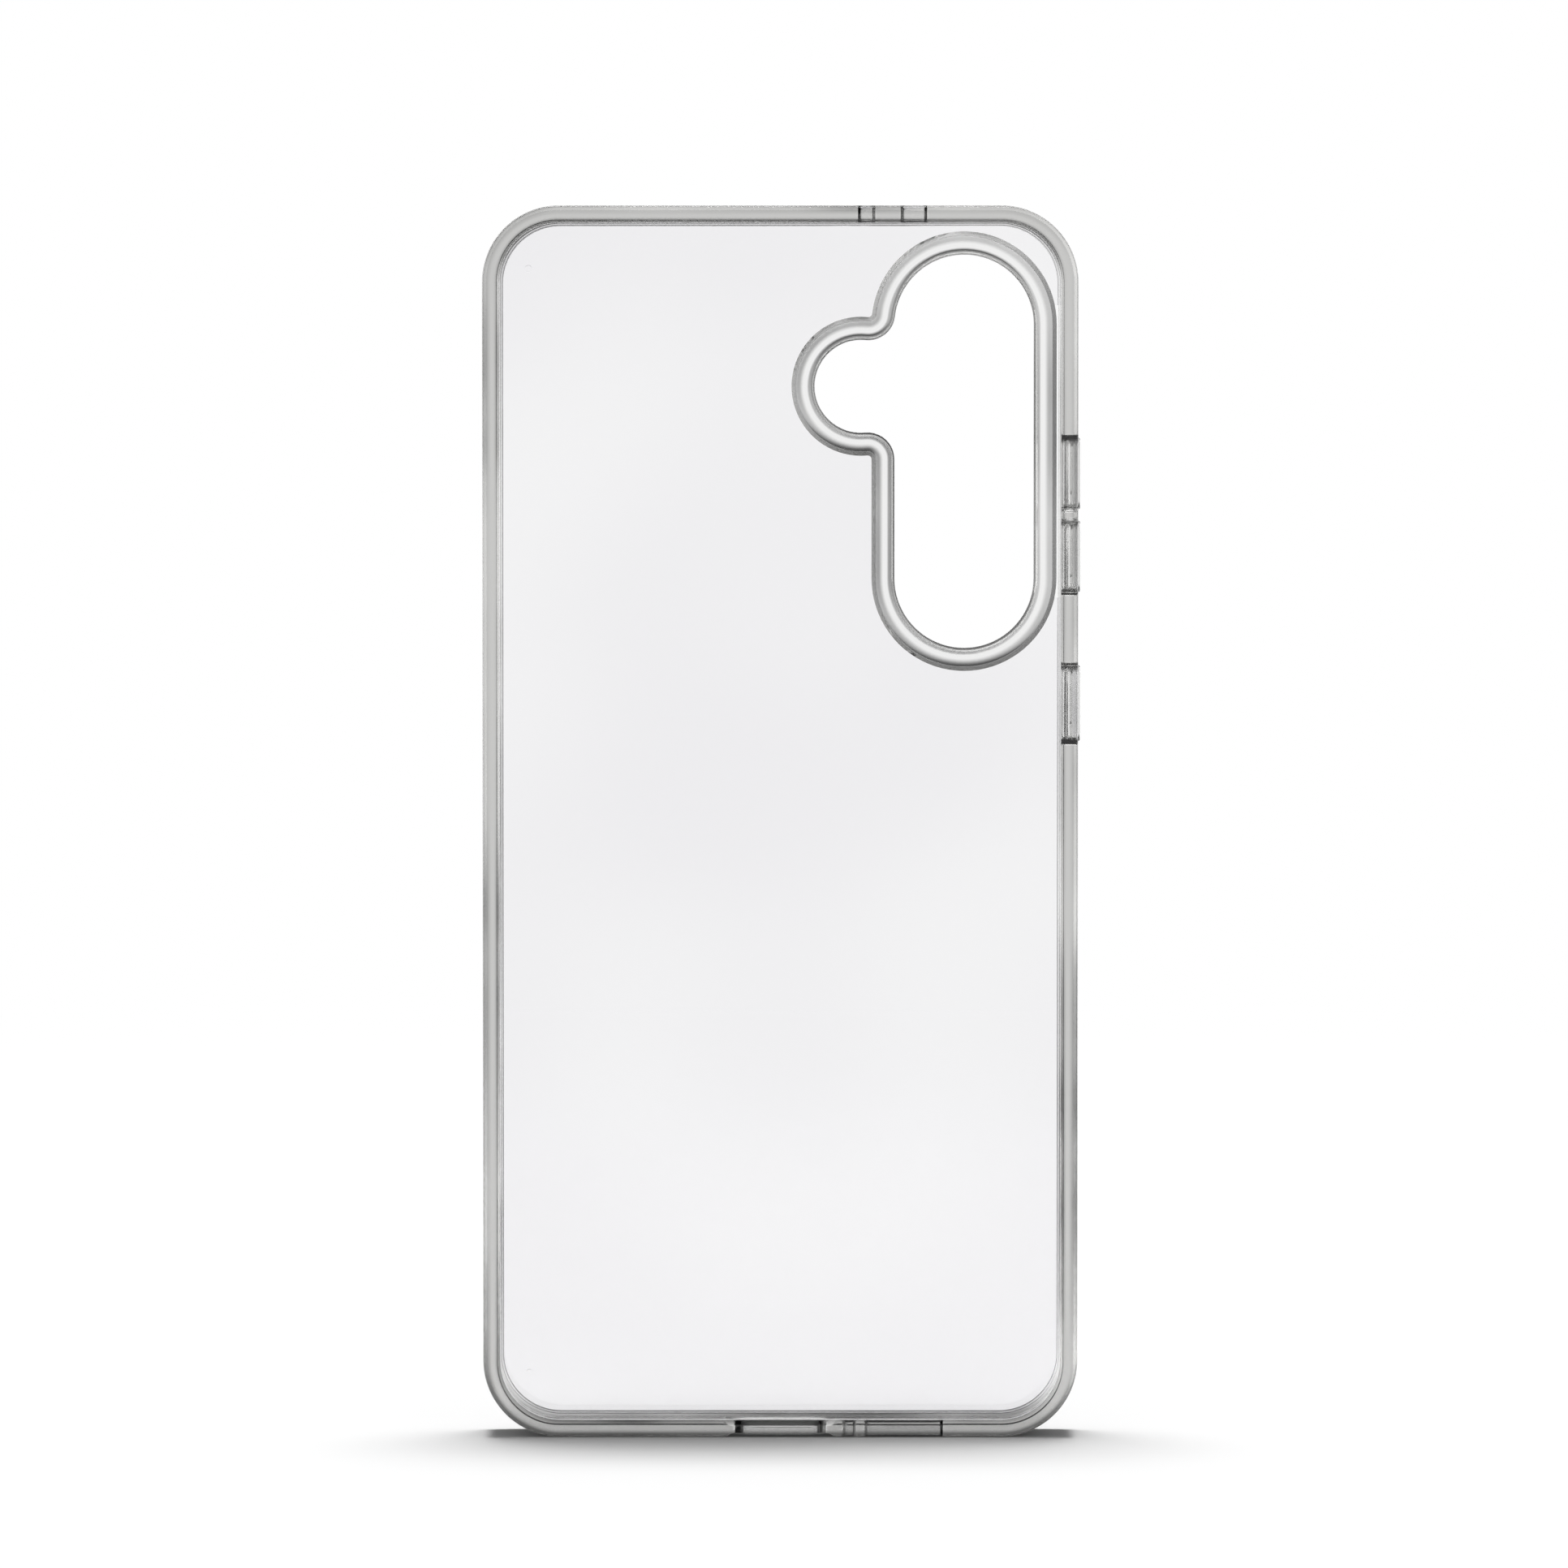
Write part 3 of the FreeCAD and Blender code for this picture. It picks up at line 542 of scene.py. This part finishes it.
def clear_material(name, tints, ior, depth, rough, waves, edges=None, shaded=False):
    """A clear moulding: slightly uneven polish, faint flow waves, and grey where it is thick.
    waves are their size and depth, and edges the two greys of the painted shade on its rounds,
    laid on in streaks. On a shaded one the rounds that face down get the darker grey, a painted
    reflection of a dark table, and the foot is darker, a painted shadow of the table."""
    material = bpy.data.materials.new(name)
    material.use_nodes = True
    tree = Nodes(material.node_tree)
    nodes, links = tree.nodes, tree.links
    shader, output = nodes["Principled BSDF"], nodes["Material Output"]
    shader.inputs["Transmission Weight"].default_value = 1.0
    shader.inputs["IOR"].default_value = ior

    haze = tree.noise(HAZE_SIZE, 1)
    tint = tree.mix(haze, *((*colour, 1) for colour in tints))
    if edges:
        geometry = nodes.new("ShaderNodeNewGeometry").outputs
        # painted shade on the rounds: the dark lines that refraction of a dark studio would give, in
        # streaks
        edge_shade_streak = tree.noise(EDGE_SHADE_STREAK_SIZE, 2)
        if shaded:
            upward = facing_up(tree, geometry)
            # rounds that face down take the darker grey: a painted reflection of a dark table
            edge_shade_streak = tree.math("MULTIPLY", edge_shade_streak, tree.fade(upward, *UNDERSIDE_REFLECTION, UNDERSIDE_REFLECTION_LIGHT, 1))
        edge_shade_greys = tree.mix(edge_shade_streak, *((grey, grey, grey, 1) for grey in edges))
        tint = tree.mix(painted_edge_shade_mask(tree, geometry["Normal"]), tint, edge_shade_greys)
        if shaded:
            # the foot and the pocket's floor made darker: a painted shadow of the table
            tint = tree.vector("MULTIPLY", tint, painted_table_shadow(tree, upward))
    links.new(tint, shader.inputs["Base Color"])
    links.new(tree.fade(haze, 0, 1, *rough), shader.inputs["Roughness"])

    wave_size, wave_depth = waves
    bump = nodes.new("ShaderNodeBump")
    bump.inputs["Strength"].default_value = 1.0
    bump.inputs["Distance"].default_value = wave_depth
    links.new(tree.noise(wave_size, 2), bump.inputs["Height"])
    links.new(bump.outputs["Normal"], shader.inputs["Normal"])

    colour, density = depth
    absorption = nodes.new("ShaderNodeVolumeAbsorption")
    absorption.inputs["Color"].default_value = (*colour, 1)
    absorption.inputs["Density"].default_value = density
    links.new(absorption.outputs["Volume"], output.inputs["Volume"])
    return material


# ---- putting the case together ----
# edges are the two greys of painted shade on the rounds of the frame and the ring
hard = clear_material(
    "hard_clear", HARD_TINTS, HARD_IOR, HARD_DEPTH, rough=(0.0, 0.02), waves=(9 * MM, 0.002 * MM))
soft = clear_material(
    "soft_clear", SOFT_TINTS, SOFT_IOR, SOFT_DEPTH, rough=(0.02, 0.06), waves=(5 * MM, 0.004 * MM),
    edges=(0.025, 0.9), shaded=True)
ring = clear_material(
    "soft_clear_ring", SOFT_TINTS, SOFT_IOR, SOFT_DEPTH, rough=(0.01, 0.03), waves=(5 * MM, 0.003 * MM),
    edges=(0.08, 0.46))
key_soft = clear_material(
    "soft_clear_key", SOFT_TINTS, SOFT_IOR, SOFT_DEPTH, rough=(0.02, 0.06), waves=(5 * MM, 0.002 * MM))


def settle(shape, node, body, material):
    """Puts a finished piece in its node's place, on its body, in its material."""
    shape.data.materials.clear()
    shape.data.materials.append(material)
    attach(shape, body)
    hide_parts(node)


settle(soft_frame(), "bumper_frame", "case", soft)
settle(clear_panel(), "back_panel", "case", hard)
settle(camera_ring(), "camera_bezel", "case", ring)
for key in KEYS:
    settle(key_cap(key), f"{key}_key", f"{key}_button", key_soft)
    settle(key_nub(key), f"{key}_rib", f"{key}_button", key_soft)
    web, rim, platform = key_web(key)
    settle(web, f"{key}_membrane", "case", key_soft)
    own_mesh(web)


# ---- stage, light and camera ----
HORIZON_LIGHT = 1.0
# (height above the horizon in degrees, radiance): first what is seen, round the case and through it,
# and then what lights the floor together with the softbox
SEEN_SKY = (-90, 1.0), (8, HORIZON_LIGHT), (26, 0.05), (90, 0.05)
FILL_SKY = (-90, 0.32), (20, 0.32), (50, 0.24), (90, 0.24)
# a ray that was mirrored inside the case sees a studio that is brighter below, behind and at the right
BOUNCED_FROM = Vector((0.3, 0.3, -0.35)).normalized()
BOUNCED_LIGHT = 0.32, 1.5    # its darkest and brightest side
BOUNCED_BACK = 0.6, 0.9      # cosines from straight behind the case, between which it turns white
SOFTBOX_HEIGHT = 84          # degrees above the horizon, towards the back
SOFTBOX_HALF = 12, 11        # degrees across and in depth
SOFTBOX_LIGHT = 45
SOFTBOX_GLINT = 0.011        # the share of it that is seen, by the camera or in the case
FLOOR_RADIUS, FLOOR_WHITE = 12, 0.9
FLOOR_GLOW = 0.03            # the floor's own light at the case, as a share
FLOOR_FADE = 0.25, 0.9       # distances between which that share grows to all of it
CASE_CENTRE = (0, 0, HEIGHT / 2)


def bounced(tree):
    """1 for a ray that was mirrored inside the case before it came out."""
    path = tree.nodes.new("ShaderNodeLightPath")
    mirrored = tree.math("MINIMUM", path.outputs["Glossy Depth"], 1)
    return tree.math("MULTIPLY", mirrored, path.outputs["Is Transmission Ray"])


def bounced_light(tree, direction):
    """How bright the studio is in a direction, for a ray that was mirrored inside the case."""
    along = tree.vector("DOT_PRODUCT", direction, BOUNCED_FROM, result="Value")
    side = tree.fade(along, -1, 1, *BOUNCED_LIGHT)
    behind = tree.vector("DOT_PRODUCT", direction, (0, 1, 0), result="Value")
    return tree.math("MAXIMUM", side, tree.fade(behind, *BOUNCED_BACK))


def make_floor():
    """A pale floor that melts into the background away from the case."""
    disc = bmesh.new()
    bmesh.ops.create_circle(disc, cap_ends=True, radius=FLOOR_RADIUS, segments=96)
    floor = piece("floor", disc)
    floor.location.z = -AIR
    material = bpy.data.materials.new("floor_paper")
    material.use_nodes = True
    tree = Nodes(material.node_tree)
    nodes, links = tree.nodes, tree.links
    nodes.remove(nodes["Principled BSDF"])
    place = tree.place()
    direction = tree.vector("NORMALIZE", tree.vector("SUBTRACT", place, CASE_CENTRE))
    light = tree.mix(bounced(tree), (1, 1, 1, 1), bounced_light(tree, direction))
    paper = nodes.new("ShaderNodeBsdfDiffuse")
    links.new(tree.vector("MULTIPLY", light, (FLOOR_WHITE,) * 3), paper.inputs["Color"])
    glow = nodes.new("ShaderNodeEmission")
    glow.inputs["Strength"].default_value = HORIZON_LIGHT
    links.new(light, glow.inputs["Color"])
    distance = tree.vector("LENGTH", place, result="Value")
    mix = nodes.new("ShaderNodeMixShader")
    links.new(tree.fade(distance, *FLOOR_FADE, FLOOR_GLOW), mix.inputs["Fac"])
    links.new(paper.outputs["BSDF"], mix.inputs[1])
    links.new(glow.outputs["Emission"], mix.inputs[2])
    links.new(mix.outputs["Shader"], nodes["Material Output"].inputs["Surface"])
    floor.data.materials.append(material)


def make_sky():
    """White studio walls, a dark ceiling, and a softbox almost overhead, a little behind the case."""
    world = bpy.data.worlds.new("studio")
    bpy.context.scene.world = world
    world.use_nodes = True
    tree = Nodes(world.node_tree)
    nodes, links = tree.nodes, tree.links
    direction = nodes.new("ShaderNodeTexCoord").outputs["Generated"]
    sideways, upward = tree.part(direction, "X"), tree.part(direction, "Z")
    share = tree.math("MULTIPLY_ADD", upward, 0.5, 0.5)

    def sky(steps):
        ramp = nodes.new("ShaderNodeValToRGB")
        ramp.color_ramp.interpolation = "EASE"
        stops = ramp.color_ramp.elements
        while len(stops) < len(steps):
            stops.new(1)
        for stop, (height, light) in zip(stops, steps):
            stop.position = (math.sin(math.radians(height)) + 1) / 2
            stop.color = (light, light, light, 1)
        links.new(share, ramp.inputs["Fac"])
        return ramp.outputs["Color"]

    path = nodes.new("ShaderNodeLightPath")
    looked = tree.math("MAXIMUM", path.outputs["Is Camera Ray"], path.outputs["Is Transmission Ray"])
    looked = tree.math("MAXIMUM", looked, path.outputs["Is Glossy Ray"])
    seen = tree.mix(bounced(tree), sky(SEEN_SKY), bounced_light(tree, direction))
    walls = tree.mix(looked, sky(FILL_SKY), seen)

    height = math.radians(SOFTBOX_HEIGHT)
    across, deep = (math.sin(math.radians(half)) for half in SOFTBOX_HALF)
    box_forward = (0, math.sin(height), -math.cos(height))
    forward = tree.vector("DOT_PRODUCT", direction, box_forward, result="Value")
    spread = tree.math("ADD", tree.math("POWER", tree.math("DIVIDE", sideways, across), 2),
                       tree.math("POWER", tree.math("DIVIDE", forward, deep), 2))
    box = tree.fade(spread, 1, 0, 0, SOFTBOX_LIGHT)
    box = tree.math("MULTIPLY", box, tree.math("GREATER_THAN", upward, 0))
    box = tree.math("MULTIPLY", box, tree.math("MULTIPLY_ADD", looked, SOFTBOX_GLINT - 1, 1))
    links.new(tree.vector("ADD", walls, box), nodes["Background"].inputs["Color"])


CAMERA_AWAY, CAMERA_HEIGHT = 1.2, 0.132
AIM = Vector((0.0005, 0, 0.0869))
FIELD_WIDTH = 0.2093     # how much of the case's own plane the picture takes in
SENSOR_WIDTH = 36        # millimetres
CLIP = 0.01, 100


def make_camera():
    """A camera in front of the case's open side, a little above its middle."""
    data = bpy.data.cameras.new("camera")
    data.sensor_width = SENSOR_WIDTH
    data.lens = SENSOR_WIDTH * CAMERA_AWAY / FIELD_WIDTH
    data.clip_start, data.clip_end = CLIP
    camera = bpy.data.objects.new("camera", data)
    camera.location = (AIM.x, -CAMERA_AWAY, CAMERA_HEIGHT)
    camera.rotation_euler = (AIM - camera.location).to_track_quat("-Z", "Y").to_euler()
    bpy.context.scene.collection.objects.link(camera)
    bpy.context.scene.camera = camera


make_floor()
make_sky()
make_camera()
scene = bpy.context.scene
scene.view_settings.view_transform = "Standard"
scene.cycles.max_bounces = 24
scene.cycles.transmission_bounces = 24
scene.cycles.glossy_bounces = 12
scene.cycles.caustics_reflective = False
scene.cycles.caustics_refractive = False
